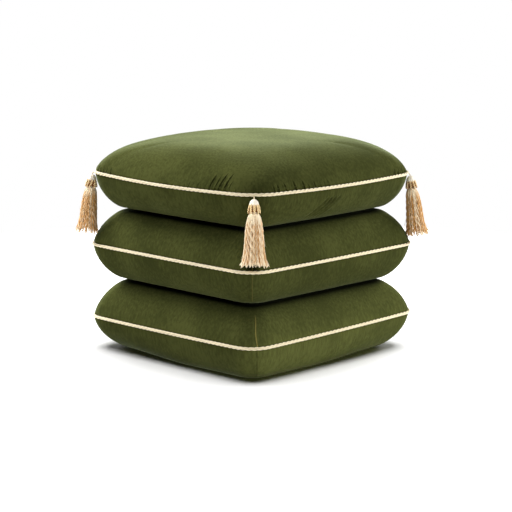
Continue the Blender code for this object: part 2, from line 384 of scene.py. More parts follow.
PRESSURE = 4.0
PRESSURE_FRAMES = 20
SWELL_CAP = 5.0 * MM
SWELL_KEPT = 0.3            # share of the even swelling
BUCKLES_KEPT = 0.2          # and of the buckles in it
SWELL_EASING = 40           # rounds of averaging that part the swelling from folds
SEAM_HOLD = 6.0 * MM        # the piping's stitches hold the cloth this near the seam
CONTACT_HOLD = 2.0 * MM     # cloth this near a cushion or the floor is pressed flat
SHOULDER_DRAW = 2.4 * MM    # the shoulders part by this round the patch of contact
SHOULDER_FADE = 3.5 * MM    # and meet their roll again at about this height
CREVICE_SHADE_ABOVE = 2.5 * MM       # painted crevice shade reaches this height over a cushion
CREVICE_SHADE_BELOW = 5.0 * MM       # and to this depth below one
CROWN_RISE = 3.0 * MM       # the filling lifts the crown by this at most
UNEVENNESS = 0.8 * MM       # the filling's lumps
LUMP = 0.075                # their size
LUMP_FADE = 15 * MM         # they fade this near another cushion or the floor


def section(cushion, half_side, radius, bow, rise, end, foot=0.0):
    """One outline, part of the way from the seam to a height.  With a foot it is spread
    by that share of the bottom cushion's settling."""
    points = []
    for x, y in rounded_square(half_side, radius, bow):
        seam = float(seam_height(cushion, x, y))
        turn = math.atan2(y, x) - math.radians(CORNERS["near"])
        spread = 1 + foot * (FOOT_EVEN + FOOT_LONG * math.cos(2 * turn)
                             + FOOT_SIDES * math.cos(4 * turn))
        points.append(Vector((x * spread, y * spread, seam + (end - seam) * rise)))
    return points


def roll_sections(cushion, end, power):
    """The outlines from the seam to the patch where the cushion touches another."""
    outlines = []
    for degrees in ROLL_ANGLES:
        angle = math.radians(degrees)
        reach, rise = math.cos(angle) ** (2 / power), math.sin(angle) ** (2 / power)
        radius = CONTACT_RADIUS + (cushion.corner_radius - CONTACT_RADIUS) * reach
        half_side = HALF_SIDE - CONTACT_INSET * (1 - reach)
        foot = 1 - reach if end == 0 else 0.0
        outlines.append(section(cushion, half_side, radius, cushion.bow * reach, rise,
                                end, foot))
    return outlines


def crown_sections(cushion):
    """The outlines from the seam to the top of the free crown."""
    angles = [math.radians(degrees) for degrees in CROWN_ANGLES]
    angles += [math.acos((percent / 100) ** (CROWN_POWER_IN / 2))
               for percent in CROWN_REACHES]
    outlines = []
    for angle in angles:
        reach = math.cos(angle) ** (2 / CROWN_POWER_IN)
        rise = math.sin(angle) ** (2 / CROWN_POWER_UP)
        half_side = HALF_SIDE * reach
        radius = min(cushion.corner_radius + CROWN_ROUNDING * (1 - reach),
                     CROWN_ROUNDEST * half_side)
        outlines.append(section(cushion, half_side, radius, cushion.bow * reach, rise,
                                cushion.roof))
    return outlines


def cover(cushion):
    """The cushion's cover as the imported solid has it, in finer steps."""
    below = list(reversed(roll_sections(cushion, cushion.floor, ROLL_POWER_BELOW)))
    seam = [section(cushion, HALF_SIDE, cushion.corner_radius, cushion.bow, 0.0, 0.0)]
    if cushion is TOP:
        above = crown_sections(cushion)
    else:
        above = roll_sections(cushion, cushion.roof, ROLL_POWER_ABOVE)
    return skin("velvet_cushion_" + cushion.name, below + seam + above, cushion.turn)


def filled_cushion(cushion):
    """The cover blown up by its filling, held by its seam and flat where it rests."""
    pattern = cover(cushion)
    pattern.name = pattern.data.name = "pattern"
    pad = cover(cushion)
    remesh = pad.modifiers.new("even cloth", "REMESH")
    remesh.mode = "VOXEL"
    remesh.voxel_size = cushion.voxel
    ease = pad.modifiers.new("ease the steps", "SMOOTH")
    ease.factor = 0.5
    ease.iterations = 3
    apply_modifiers(pad)
    height, outside, _, _ = beside_seam(pad, cushion)
    by_seam = (np.abs(height) < SEAM_HOLD) & (outside > -2 * SEAM_VALLEY)
    up = points_of(pad)[:, 2]
    pressed = up < cushion.floor + CONTACT_HOLD
    if cushion is not TOP:
        pressed |= up > cushion.roof - CONTACT_HOLD
    blow_up(pad, np.flatnonzero(by_seam | pressed).tolist())
    round_off = pad.modifiers.new("round the cloth", "SUBSURF")
    round_off.levels = 1
    apply_modifiers(pad)
    refine_seam(pad, cushion)
    fit = pad.modifiers.new("fit the pattern", "SHRINKWRAP")
    fit.target = pattern
    apply_modifiers(pad)
    bpy.data.objects.remove(pattern)
    swell = pad.data.attributes.get("swell")
    if swell is not None:
        move_points(pad, points_of(pad) + numbers_of(swell.data, "vector"))
        pad.data.attributes.remove(pad.data.attributes["swell"])
    sew(pad, cushion)
    return pad


def blow_up(pad, held):
    """Let the filling's pressure swell the free cloth, and store how far it goes."""
    group = pad.vertex_groups.new(name="held")
    group.add(held, 1.0, "REPLACE")
    cloth = pad.modifiers.new("filling", "CLOTH")
    cloth.settings.use_pressure = True
    cloth.settings.uniform_pressure_force = PRESSURE
    cloth.settings.effector_weights.gravity = 0.0
    cloth.settings.vertex_group_mass = group.name
    cloth.point_cache.frame_start = 1
    cloth.point_cache.frame_end = PRESSURE_FRAMES
    before = points_of(pad)
    for number in range(1, PRESSURE_FRAMES + 1):
        bpy.context.scene.frame_set(number)
    apply_modifiers(pad)
    bpy.context.scene.frame_set(1)
    pad.vertex_groups.clear()
    move = points_of(pad) - before
    length = np.maximum(np.linalg.norm(move, axis=1), 1e-9)
    move *= (SWELL_CAP / length * np.tanh(length / SWELL_CAP))[:, None]
    even = averaged(pad, move, SWELL_EASING)
    move_points(pad, before)
    layer = pad.data.attributes.new("swell", "FLOAT_VECTOR", "POINT")
    layer.data.foreach_set("vector", np.ravel(SWELL_KEPT * even
                                              + BUCKLES_KEPT * (move - even)))


def averaged(piece, values, rounds):
    """Rows of values, one for each point, averaged with their neighbours'."""
    ends = numbers_of(piece.data.edges, "vertices", 2, np.int64)
    first, second = ends.T
    count = np.bincount(ends.ravel(), minlength=len(values))[:, None]
    for _ in range(rounds):
        total = np.zeros_like(values)
        np.add.at(total, first, values[second])
        np.add.at(total, second, values[first])
        values = 0.5 * values + 0.5 * total / np.maximum(count, 1)
    return values


def refine(pad, wanted):
    """Split the faces between the wanted points into four."""
    only(pad)
    bpy.ops.object.mode_set(mode="EDIT")
    bpy.ops.mesh.select_mode(type="VERT")
    bpy.ops.mesh.select_all(action="DESELECT")
    shape = bmesh.from_edit_mesh(pad.data)
    for point, chosen in zip(shape.verts, wanted):
        point.select_set(bool(chosen))
    shape.select_flush_mode()
    bmesh.update_edit_mesh(pad.data)
    bpy.ops.mesh.subdivide(number_cuts=1)
    bpy.ops.object.mode_set(mode="OBJECT")


# ---- folds and seams in the velvet ----
class Fold(NamedTuple):
    """A crease in a cushion's cloth.  Its ends are given by how far they are along the
    seam from a corner, counter-clockwise, and how far above the seam."""
    corner: int
    start: tuple
    end: tuple
    width: float
    depth: float


FOLD_SEED = 31
FOLD_RIDGES = 0.60          # height of the swelling beside a fold, over its depth
DEEP_FOLD = 3.5 * MM        # a fold this deep gets the full painted shade in its valley
FOLD_OPENING = 1.1          # painted highlight on the ridges, over the painted shade in the valley
FOLD_REACH = 70 * MM        # no fold runs farther in from the seam
FOLD_ZONES = (6.0 * MM, 3.2 * MM)   # cloth this near a fold has a finer mesh
CORNER_ZONES = (5.0 * MM, 3.0 * MM)  # and this near a corner's seam
SEAM_REACH = 12 * MM        # the piping is sewn to cloth this near the seam
SEAM_WIDTH = 2.6 * MM       # of its valley's slopes
CORNER_SHIFT = 25 * MM      # over this height a corner's seam shifts above the piping
CORNER_BOUNDS = (-0.85, -0.65)  # and it starts this far in, over the corner's radius
STITCH_WIDTH = 0.7 * MM
TIP_SHADOW = (13 * MM, 7 * MM)    # half the width and height of the painted shadow under a tassel's tips
SHOULDER_BOUNDS = (-95 * MM, -75 * MM)  # the shoulders draw in outside these


def top_folds():
    """The top cushion's gathers above the piping and drag lines below it."""
    chance = random.Random(FOLD_SEED)
    folds = [Fold(NEAR, (along, 2 * MM), (along + lean * MM, tall * MM), width * MM,
                  depth * MM)
             for along, lean, tall, width, depth in (
                 (-0.1033, 5.0, 20, 1.0, 0.6), (-0.0932, 6.0, 31, 1.0, 1.6),
                 (-0.0812, 6.0, 29, 0.9, 1.1), (-0.0724, 7.0, 33, 1.0, 2.1),
                 (-0.0607, 8.0, 34, 1.0, 1.9), (-0.0510, 6.0, 24, 1.0, 0.8),
                 (0.0394, -1.0, 15, 1.2, 1.4), (0.0495, -1.0, 16, 1.3, 1.7),
                 (0.0660, -1.5, 17, 1.3, 1.4), (0.0875, -1.5, 19, 1.3, 2.0),
                 (0.1080, -1.5, 18, 1.3, 1.7))]
    # rows of small gathers where the cloth is drawn together at the corners
    rows = [(NEAR, -0.150, -0.112, 5, 16, 0.25, 0.6),
            (NEAR, -0.046, 0.026, 6, 11, 0.0, 0.8),
            (NEAR, 0.122, 0.170, 5, 14, -0.1, 0.9)]
    for corner in (RIGHT, FAR, LEFT):
        rows += [(corner, -0.062, -0.020, 6, 17, 0.25, 1.3),
                 (corner, 0.025, 0.070, 5, 15, -0.2, 1.1)]
    for corner, first, last, count, tall, lean, depth in rows:
        for number in range(count):
            share = (number + chance.uniform(-0.2, 0.2)) / (count - 1)
            along = first + (last - first) * share
            length = tall * MM * chance.uniform(0.7, 1.1)
            folds.append(Fold(corner, (along, 2 * MM), (along + lean * length, length),
                              width=chance.uniform(0.9, 1.3) * MM,
                              depth=depth * MM * chance.uniform(0.6, 1.2)))
    drag_lines = ((0.170, 1.4), (0.180, 2.2), (0.190, 2.4), (0.201, 1.5))
    return folds + [Fold(NEAR, (along, -20 * MM), (along - 0.033, -53 * MM), 2.0 * MM,
                         depth * MM) for along, depth in drag_lines]


def beside_fold(fold, along, height):
    """Each point's distance from a fold's line, and how far it is along that line."""
    start, end = np.array(fold.start), np.array(fold.end)
    way = end - start
    share = ((along - start[0]) * way[0] + (height - start[1]) * way[1]) / (way @ way)
    on_line = np.clip(share, 0, 1)
    away = np.hypot(along - start[0] - on_line * way[0],
                    height - start[1] - on_line * way[1])
    return away, share


def crease(fold, along, height):
    """How far a fold draws the cloth in at each point, and its painted shade: dark in the
    valley, with a painted highlight on the ridges.
    """
    away, share = beside_fold(fold, along, height)
    fade = smoothstep(-0.15, 0.12, share) * (1 - smoothstep(0.55, 1.1, share))
    valley = fade * bell(away, fold.width)
    ridges = fade * FOLD_RIDGES * bell(away, fold.width, 2 * fold.width)
    fold_shade_and_highlight = (valley - FOLD_OPENING * ridges) * min(1.0, fold.depth / DEEP_FOLD)
    return fold.depth * (valley - ridges), fold_shade_and_highlight


def by_fold(folds, along, height, corner, zone):
    """Which points lie this near a fold."""
    found = np.zeros(len(along), bool)
    for fold in folds:
        away, share = beside_fold(fold, along, height)
        found |= (corner == fold.corner) & (np.abs(share - 0.5) < 0.7) & (away < zone)
    return found


def refine_seam(pad, cushion):
    """Give the cloth beside the piping and the corners' seams a finer mesh."""
    height, outside, _, _ = beside_seam(pad, cushion)
    refine(pad, (outside > -SEAM_REACH) & (np.abs(height) < 8 * MM))
    for zone in CORNER_ZONES if cushion is not TOP else ():
        height, outside, along, _ = beside_seam(pad, cushion)
        beside, _, there = beside_corner_seam(cushion, height, outside, along)
        refine(pad, (np.abs(beside) < zone) & (there > 0))


def beside_corner_seam(cushion, height, outside, along):
    """How far points lie beside the seam of their corner, to its right from outside, how
    far that seam parts the pile there, and whether it runs there at all."""
    above, below, parts_above, parts_below = cushion.corner_seam
    share = smoothstep(0, CORNER_SHIFT, height)
    across = along * np.clip(1 + outside / cushion.corner_radius, 0.05, 1)
    there = smoothstep(*CORNER_BOUNDS, outside / cushion.corner_radius)
    return (across - below - (above - below) * share,
            np.where(height > 0, parts_above, parts_below), there)


def sew(pad, cushion):
    """Lay the piping's valley, the corners' seams and the folds into the cloth."""
    folds = top_folds() if cushion is TOP else []
    for zone in FOLD_ZONES if folds else ():
        height, outside, along, corner = beside_seam(pad, cushion)
        near = by_fold(folds, along, height, corner, zone)
        refine(pad, (outside > -FOLD_REACH) & near)

    height, outside, along, corner = beside_seam(pad, cushion)
    inward = SEAM_VALLEY * bell(height, SEAM_WIDTH) * (outside > -SEAM_REACH)
    # closed: painted shade, and painted highlight where it is below zero, for the velvet
    # to darken or lighten by
    closed = np.zeros(len(inward))
    for fold in folds:
        chosen = (corner == fold.corner) & (outside > -FOLD_REACH)
        drawn, fold_shade_and_highlight = crease(fold, along[chosen], height[chosen])
        inward[chosen] += drawn
        closed[chosen] += fold_shade_and_highlight
    closed = np.clip(closed, -0.5, 0.9)
    parted = np.zeros(len(inward))
    if cushion is not TOP:
        # the corner's seam: the cloth sinks in left of the stitches, which part the pile
        # and show its paler foot
        beside, parts, bound = beside_corner_seam(cushion, height, outside, along)
        inward += bound * MM * (0.9 * bell(beside, 1.0 * MM, -1.6 * MM)
                                - 0.5 * bell(beside, 1.3 * MM, 1.4 * MM))
        parted = bound * parts * bell(beside, STITCH_WIDTH)
        lower = 1 - smoothstep(-12 * MM, 0, height)
        # painted shade in the valley left of the corner's seam, below the piping
        closed += 0.22 * bound * lower * bell(beside, 4.5 * MM, -5 * MM)
    if cushion is MIDDLE:
        # painted shadow cast by the tassels' tips on the cloth just below them
        closed = np.maximum(closed, 0.95 * np.exp(-(along / TIP_SHADOW[0]) ** 4
                                                  - ((height - TIP_SHADOW[1]) / TIP_SHADOW[1]) ** 4))
    paint(pad, "parted", parted)

    # painted shade in the crevice where two cushions press on each other, and the
    # shoulders draw in round that patch
    places = points_of(pad)
    over, under = places[:, 2] - cushion.floor, cushion.roof - places[:, 2]
    if cushion is not BOTTOM:
        closed = np.maximum(closed, bell(over, CREVICE_SHADE_ABOVE))
    if cushion is not TOP:
        closed = np.maximum(closed, bell(under, CREVICE_SHADE_BELOW))
    paint(pad, "closed", closed)
    lumps = np.array([noise.noise(Vector(place) / LUMP) for place in places])
    calm = smoothstep(4 * MM, 20 * MM, np.abs(height)) * smoothstep(0, LUMP_FADE, over)
    if cushion is not TOP:
        calm = calm * smoothstep(0, LUMP_FADE, under)
    inward += UNEVENNESS * lumps * calm
    places = places - numbers_of(pad.data.vertices, "normal") * inward[:, None]
    draw = SHOULDER_DRAW * smoothstep(*SHOULDER_BOUNDS, outside)
    if cushion is not BOTTOM:
        places[:, 2] += draw * bell(places[:, 2] - cushion.floor, SHOULDER_FADE)
    if cushion is not TOP:
        places[:, 2] -= draw * bell(cushion.roof - places[:, 2], SHOULDER_FADE)
    highest = cushion.roof + (CROWN_RISE if cushion is TOP else 0.0)
    places[:, 2] = np.clip(places[:, 2], cushion.floor, highest)
    move_points(pad, places)


# ---- piping ----
ROPE_LAY = 30.0 * MM        # length in which a strand goes once round
ROPE_STRANDS = 3
STRANDS_PRESSED = 0.7       # how far apart the strands are, over free ones
STRAND_SIDES = 8
STEPS_A_LAY = 18


def seam_path(cushion):
    """The piping's middle line, in the model's frame."""
    turn = Matrix.Rotation(math.radians(cushion.turn), 3, "Z")
    outline = rounded_square(HALF_SIDE + PIPING_PROUD,
                             cushion.corner_radius + PIPING_PROUD, cushion.bow)
    return [turn @ Vector((x, y, float(seam_height(cushion, x, y)))) for x, y in outline]


def laid_cord(name, path, closed, radius, strands, lay):
    """A cord of strands twisted to the left, bent along a path."""
    guide = bpy.data.curves.new(name + "_line", "CURVE")
    guide.dimensions = "3D"
    guide.twist_mode = "Z_UP" if closed else "MINIMUM"
    line = guide.splines.new("POLY")
    line.points.add(len(path) - 1)
    for point, place in zip(line.points, path):
        point.co = (*place, 1.0)
    line.use_cyclic_u = closed
    rail = new_piece(name + "_line", guide)

    ends = path[1:] + (path[:1] if closed else [])
    length = sum((after - before).length for before, after in zip(path, ends))
    lays = max(1, round(length / lay))
    off_middle = STRANDS_PRESSED / math.sin(math.pi / strands)  # in strand radii
    strand = radius / (1 + off_middle)
    sides = range(STRAND_SIDES)
    section, edges = [], []
    for number in range(strands):
        around = 2 * math.pi * number / strands
        middle = Vector((math.cos(around), math.sin(around), 0)) * strand * off_middle
        turns = [2 * math.pi * side / STRAND_SIDES for side in sides]
        section += [middle + Vector((-math.sin(turn), math.cos(turn), 0)) * strand
                    for turn in turns]
        start = number * STRAND_SIDES
        edges += [(start + side, start + side - 1) for side in sides[1:]]
        edges.append((start + sides[-1], start))
    mesh = bpy.data.meshes.new(name)
    mesh.from_pydata(section, edges, [])
    cord = new_piece(name, mesh)
    twist = cord.modifiers.new("twist", "SCREW")
    twist.axis = "Z"
    twist.angle = -2 * math.pi
    twist.screw_offset = length / lays
    twist.iterations = lays
    twist.steps = STEPS_A_LAY
    bend = cord.modifiers.new("bend", "CURVE")
    bend.object = rail
    bend.deform_axis = "POS_Z"
    apply_modifiers(cord)
    bpy.data.objects.remove(rail)
    tidy_mesh(cord, close_ends=not closed)
    return cord


# ---- tassels ----
# A tassel's own frame has the top of its head at the origin, hangs down and has +X
# outwards, away from the cushion.
TASSEL_REACH = 6.2 * MM     # top of the head outside the seam's corner
TASSEL_DROP = 6.2 * MM      # top of the head below the seam
TASSELS = {                 # lean outwards in degrees, length in mm, how far the loops slant sideways, and painted shade that darkens all its threads
                            # loops slant sideways, and how pale the dye is
    "near": (6.5, 114, 0.05, 0.0),
    "right": (6.3, 112, 0.15, -0.3),
    "far": (6.0, 113, 0.10, -0.1),
    "left": (5.2, 108, -0.50, -0.2),
}
TASSEL_SEED = 100
HANGER_RADIUS = 1.1 * MM
HANGER_LAY = 5.0 * MM
HANGER_STEPS = 8
HANGER_PATH = (             # how far outside the seam's corner and above the seam
    (2.6 * MM, -2.4 * MM), (5.8 * MM, -4.0 * MM),
    (TASSEL_REACH, -TASSEL_DROP + 0.6 * MM))

HEAD_LOBES = 5              # bundles of thread folded over the head's core
HEAD_CREASE = 0.10          # of the radius, between two lobes
HEAD_RIDGES = 40            # threads round the head
HEAD_RIDGE_DEPTH = 0.035    # of the radius
HEAD_RINGS = (              # radius and depth, in mm, from its foot up
    (6.2, 24.0), (5.7, 20.0), (5.7, 16.0), (6.5, 14.0), (7.9, 12.4), (8.5, 10.4),
    (8.4, 8.4), (7.8, 6.2), (6.8, 4.2), (5.5, 2.5), (3.9, 1.2), (2.2, 0.4), (0.9, 0.1))
NECK_SHADE = 12.0 * MM            # depth where the painted shade of the neck begins, under the ruff

BULLIONS = 10               # twisted loops round the ruff
BULLION_PATH = ((6.6, 8.6), (8.4, 13.0), (10.4, 24.8))  # radius and depth, in mm
BULLION_PLY = 0.95 * MM     # radius of one of its two plies
BULLION_TWIST = 1.35 * MM   # a ply's middle from the loop's middle
BULLION_LAY = 8.6 * MM
BULLION_STEPS = 22
BULLION_SIDES = 6

SKIRT_ROOT = 22.5 * MM
SKIRT_PROFILE = {           # depth below the top of the head: radius, in mm
    22.5: 7.4, 26: 8.9, 31: 11.6, 40: 14.2, 55: 16.3, 70: 17.4, 88: 18.8, 102: 20.6,
    110: 22.6, 118: 25.6,
}
SKIRT_PRESSED = 0.86        # its inner side, pressed by the cushion below
LOCK_RINGS = (              # rings of yarn: locks, threads in a lock, and, in mm, how
                            # far in the ring is and how far its threads spread
    (44, 4, 0.0, 0.7), (34, 3, 1.5, 0.7), (7, 3, 6.0, 1.4))
CLUMPS = 13                 # the yarns draw together in clumps near their tips
CLUMPING = 0.55
CRIMP = 13 * MM             # length of a wave in the yarn
CRIMP_HEIGHT = 0.9 * MM
THREAD_RADIUS = 0.48 * MM
THREAD_STEPS = 31
THREAD_SIDES = 4
STRAYS = 7                  # fine loose threads
STRAY_RADIUS = 0.16 * MM
GOLDEN_ANGLE = math.pi * (3 - math.sqrt(5))
END_TAPER = 0.45            # of a thread's radius at its end, over the rest
NO_THREADS_WAY = (0.31, 0.94, 0.13)  # a direction in which no thread runs
CLOTH_CLEARANCE = 0.8 * MM


def corner_frame(cushion, bearing):
    """The place where a cushion's seam turns a corner, with +X outwards."""
    reach = (HALF_SIDE - cushion.corner_radius) * math.sqrt(2) + cushion.corner_radius
    height = seam_height(cushion, reach * math.cos(bearing), reach * math.sin(bearing))
    turn = Matrix.Rotation(bearing + math.radians(cushion.turn), 4, "Z")
    return turn @ Matrix.Translation((reach, 0, height))


def tubes(name, paths, radii, sides):
    """Thin closed tubes along paths of as many points each, with a radius for each."""
    paths, radii = np.asarray(paths), np.asarray(radii)
    count, steps, _ = paths.shape
    ways = np.gradient(paths, axis=1)
    ways /= np.linalg.norm(ways, axis=2, keepdims=True)
    beside = np.cross(ways, NO_THREADS_WAY)
    beside /= np.linalg.norm(beside, axis=2, keepdims=True)
    across = np.cross(ways, beside)
    around = np.arange(sides) * 2 * math.pi / sides
    rings = (paths[:, :, None] + radii[:, :, None, None]
             * (np.cos(around)[:, None] * beside[:, :, None]
                + np.sin(around)[:, None] * across[:, :, None]))
    numbers = np.arange(count * steps * sides).reshape(count, steps, sides)
    here, after = numbers[:, :-1], numbers[:, 1:]
    walls = np.stack((here, np.roll(here, -1, 2), np.roll(after, -1, 2), after), -1)
    faces = walls.reshape(-1, 4).tolist()
    faces += numbers[:, 0, ::-1].tolist() + numbers[:, -1].tolist()
    mesh = bpy.data.meshes.new(name)
    mesh.from_pydata(rings.reshape(-1, 3).tolist(), [], faces)
    return new_piece(name, mesh)


def hanger(name, seam):
    """The short cord from under the piping to the top of the tassel's head."""
    low, knee, high = [seam @ Vector((outside, 0, above))
                       for outside, above in HANGER_PATH]
    shares = [step / HANGER_STEPS for step in range(HANGER_STEPS + 1)]
    path = [low.lerp(knee, share).lerp(knee.lerp(high, share), share) for share in shares]
    cord = laid_cord(name, path, closed=False, radius=HANGER_RADIUS, strands=2,
                     lay=HANGER_LAY)
    paint(cord, "shade", 0.5)
    return cord


def tassel_head(name, chance):
    """The wound head: bundles of thread folded over a round core, tied at the neck."""
    turns = [math.pi * step / HEAD_RIDGES for step in range(2 * HEAD_RIDGES)]
    head = skin(name, [[(radius * MM * math.cos(turn), radius * MM * math.sin(turn),
                         -depth * MM) for turn in turns]
                       for radius, depth in HEAD_RINGS])
    places = points_of(head)
    around = np.arctan2(places[:, 1], places[:, 0]) + chance.uniform(0, 2 * math.pi)
    crease = bell(np.sin(around * HEAD_LOBES / 2), 0.22)
    thread = 0.5 - 0.5 * np.cos(around * HEAD_RIDGES)
    places[:, :2] *= (1 - HEAD_CREASE * crease - HEAD_RIDGE_DEPTH * thread)[:, None]
    move_points(head, places)
    tidy_mesh(head)
    # painted shade in the creases between the lobes, in the grooves between the threads,
    # and on the neck, which shows between the ruff's loops
    shade = 0.9 - 0.35 * crease - 0.15 * thread
    shade *= 1 - smoothstep(NECK_SHADE - 4 * MM, NECK_SHADE, -places[:, 2])
    paint(head, "shade", shade)
    return head


def ruff(name, chance, slant, painted_shade):
    """The collar of twisted thread loops that hang from the head over the neck."""
    share = np.linspace(0, 1, BULLION_STEPS)
    radii, depths = [(1 - share) ** 2 * start + 2 * share * (1 - share) * knee
                     + share ** 2 * end for start, knee, end in zip(*BULLION_PATH)]
    closed = np.sin(math.pi * np.clip(share * 0.92 + 0.08, 0, 1)) ** 0.35
    twists = 2 * math.pi * share * (BULLION_PATH[2][1] * MM / BULLION_LAY)
    paths, shades = [], []
    for number in range(BULLIONS):
        around = 2 * math.pi * (number + chance.uniform(-0.12, 0.12)) / BULLIONS
        length = chance.uniform(0.93, 1.04)
        out = chance.uniform(-0.4, 0.5) * share
        start = chance.uniform(0, 2 * math.pi)
        lean = slant + chance.uniform(-0.12, 0.12)
        for ply in (0, math.pi):
            turn = start + ply + twists
            aside = BULLION_TWIST * closed * np.sin(turn)
            radial = (radii + out) * MM + BULLION_TWIST * closed * np.cos(turn)
            angle = around + lean * share + aside / (radii * MM)
            depth = (depths[0] + (depths - depths[0]) * length) * MM
            paths.append(np.column_stack((radial * np.cos(angle), radial * np.sin(angle),
                                          -depth)))
            # painted highlight where each ply twists outwards and painted shade where it
            # goes behind, on top of the painted shade given for the whole tassel
            shades.append(painted_shade + chance.uniform(0.4, 0.6) + 0.6 * np.cos(turn))
    thickness = np.full((len(paths), BULLION_STEPS), BULLION_PLY)
    thickness[:, [0, -1]] *= END_TAPER
    collar = tubes(name, paths, thickness, BULLION_SIDES)
    paint(collar, "shade", np.repeat(np.ravel(shades), BULLION_SIDES))
    return collar


def skirt_radius(depth):
    """The skirt's radius at depths below the top of the head."""
    return np.interp(depth, np.array(list(SKIRT_PROFILE)) * MM,
                     np.array(list(SKIRT_PROFILE.values())) * MM)


def lock_paths(chance, skirt_length, locks, threads, inset, spread):
    """The threads of one ring of locks, with how pale each of their points is: the yarn's
    own paleness, with painted highlight and shade along its waves and painted highlight
    at its root and tips.
    """
    share = np.linspace(0, 1, THREAD_STEPS)
    loose = smoothstep(0.02, 0.3, share)
    clump_start = chance.uniform(0, 2 * math.pi)
    for lock in range(locks):
        around = 2 * math.pi * (lock + chance.uniform(-0.3, 0.3)) / locks
        drawn = CLUMPING * share ** 2 * np.sin(CLUMPS * around + clump_start) / CLUMPS
        clump = math.cos(CLUMPS * around + clump_start)
        length = skirt_length + (0.6 - 1.2 * clump + chance.gauss(0, 1.1)) * MM
        depth = SKIRT_ROOT + (length - SKIRT_ROOT) * share
        crimp = CRIMP * chance.uniform(0.8, 1.25)
        wave = 2 * math.pi * depth / crimp + chance.uniform(0, 2 * math.pi)
        height = CRIMP_HEIGHT * chance.uniform(0.6, 1.3) * loose
        flick = (max(0.0, chance.gauss(0.2, 1.0)) * 2.2 * MM * share ** 8,
                 chance.gauss(0, 1.7) * MM * share ** 6)
        outer = (skirt_radius(depth) - (inset + spread) * MM - THREAD_RADIUS
                 - 0.4 * height)
        pale = chance.uniform(0.0, 0.75)
        for number in range(threads):
            off = spread * MM * math.sqrt((number + 0.5) / threads)
            turn = number * GOLDEN_ANGLE + 3.0 * share + lock
            radial = (outer + off * np.cos(turn) + 0.5 * height * np.cos(wave + 0.8)
                      + flick[0])
            aside = off * np.sin(turn) + height * np.sin(wave) + flick[1]
            ends = depth + chance.uniform(-1.4, 1.0) * MM * share
            angle = around + drawn + aside / np.maximum(outer, 4 * MM)
            x, y = radial * np.cos(angle), radial * np.sin(angle)
            x = np.where(x < 0, x * (1 - (1 - SKIRT_PRESSED) * loose), x)
            # the lock's and thread's own paleness, with painted highlight and shade along
            # the waves and painted highlight at the root under the ruff and at the tips
            light = (pale + chance.uniform(-0.15, 0.15) + 0.15 * np.cos(wave) * loose
                     + 0.5 * (1 - loose) + 0.5 * smoothstep(0.93, 1, share))
            yield np.column_stack((x, y, -ends)), light


def stray_paths(chance, skirt_length):
    """A few fine threads that stand away from the skirt."""
    share = np.linspace(0, 1, THREAD_STEPS)
    for _ in range(STRAYS):
        around = chance.uniform(0, 2 * math.pi)
        depth = SKIRT_ROOT + (chance.uniform(20, 60) + 24 * share) * MM
        depth = np.minimum(depth, skirt_length)
        away = chance.uniform(1.5, 4.0) * MM * share ** 2
        radial = skirt_radius(depth) - 0.4 * MM + away
        angle = around + 0.06 * np.sin(7 * share + around)
        yield (np.column_stack((radial * np.cos(angle), radial * np.sin(angle), -depth)),
               np.full(THREAD_STEPS, 0.7))


def skirt(name, chance, length, painted_shade):
    """The skirt: crimped yarns in rings round each other, with a few stray threads."""
    threads = [thread for ring in LOCK_RINGS
               for thread in lock_paths(chance, length, *ring)]
    strays = list(stray_paths(chance, length))
    paths = np.array([path for path, _ in threads + strays])
    thickness = np.full(paths.shape[:2], THREAD_RADIUS)
    thickness[:, -1] *= END_TAPER
    thickness[-len(strays):] = STRAY_RADIUS
    piece = tubes(name, paths, thickness, THREAD_SIDES)
    shades = painted_shade + np.array([light for _, light in threads + strays])
    paint(piece, "shade", np.repeat(shades.ravel(), THREAD_SIDES))
    return piece


def keep_clear(piece, cloths):
    """Push the piece's points out of the cushions that they meet."""
    places = points_of(piece)
    for number, place in enumerate(places):
        for cloth in cloths:
            on_cloth, way, _, _ = cloth.find_nearest(Vector(place))
            height = (Vector(place) - on_cloth).dot(way)
            if height < CLOTH_CLEARANCE:
                places[number] = on_cloth + way * CLOTH_CLEARANCE
    move_points(piece, places)


def add_tassel(corner, cushion, cloths):
    """Head, skirt, ruff and hanger of the tassel at one corner."""
    lean, length, slant, painted_shade = TASSELS[corner]
    seam = corner_frame(cushion, math.radians(CORNERS[corner]))
    place = (seam @ Matrix.Translation((TASSEL_REACH, 0, -TASSEL_DROP))
             @ Matrix.Rotation(-math.radians(lean), 4, "Y"))
    chance = random.Random(TASSEL_SEED + CORNERS[corner])
    head = tassel_head("tassel_head_" + corner, chance)
    head.data.transform(place)
    fringe = skirt("tassel_skirt_" + corner, chance, length * MM, painted_shade)
    fringe.data.transform(place)
    keep_clear(fringe, cloths)
    collar = ruff("tassel_loops_" + corner, chance, slant, painted_shade)
    collar.data.transform(place)
    tie = hanger("tassel_cord_" + corner, seam)
    dress(head, "tassel_" + corner, satin)
    dress(fringe, "tassel_" + corner, floss)
    dress(collar, "tassel_ruff_" + corner, looped)
    dress(tie, "tassel_hanger_" + corner, cream)


# ---- finishing a piece ----
def dress(piece, node, material):
    """Give a piece its finish and let it stand for its node."""
    piece.data.materials.clear()
    piece.data.materials.append(material)
    piece.data.shade_smooth()
    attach(piece, "root")
    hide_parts(node)


# ---- studio ----
IMAGE_SIDE = 512            # pixels
FOCAL_PIXELS = 1818         # focal length of the photograph's camera
SENSOR = 36.0               # mm
AZIMUTH = 45.0              # degrees: the near corner points at the camera
ELEVATION = 10.59
DISTANCE = 3.432
AIM_RIGHT = 0.0085
AIM_HEIGHT = 0.1734
TABLE_RADIUS = 1.4
BOX_DISTANCE = 2.5
BOX_AIM = 0.2               # height that the boxes look at


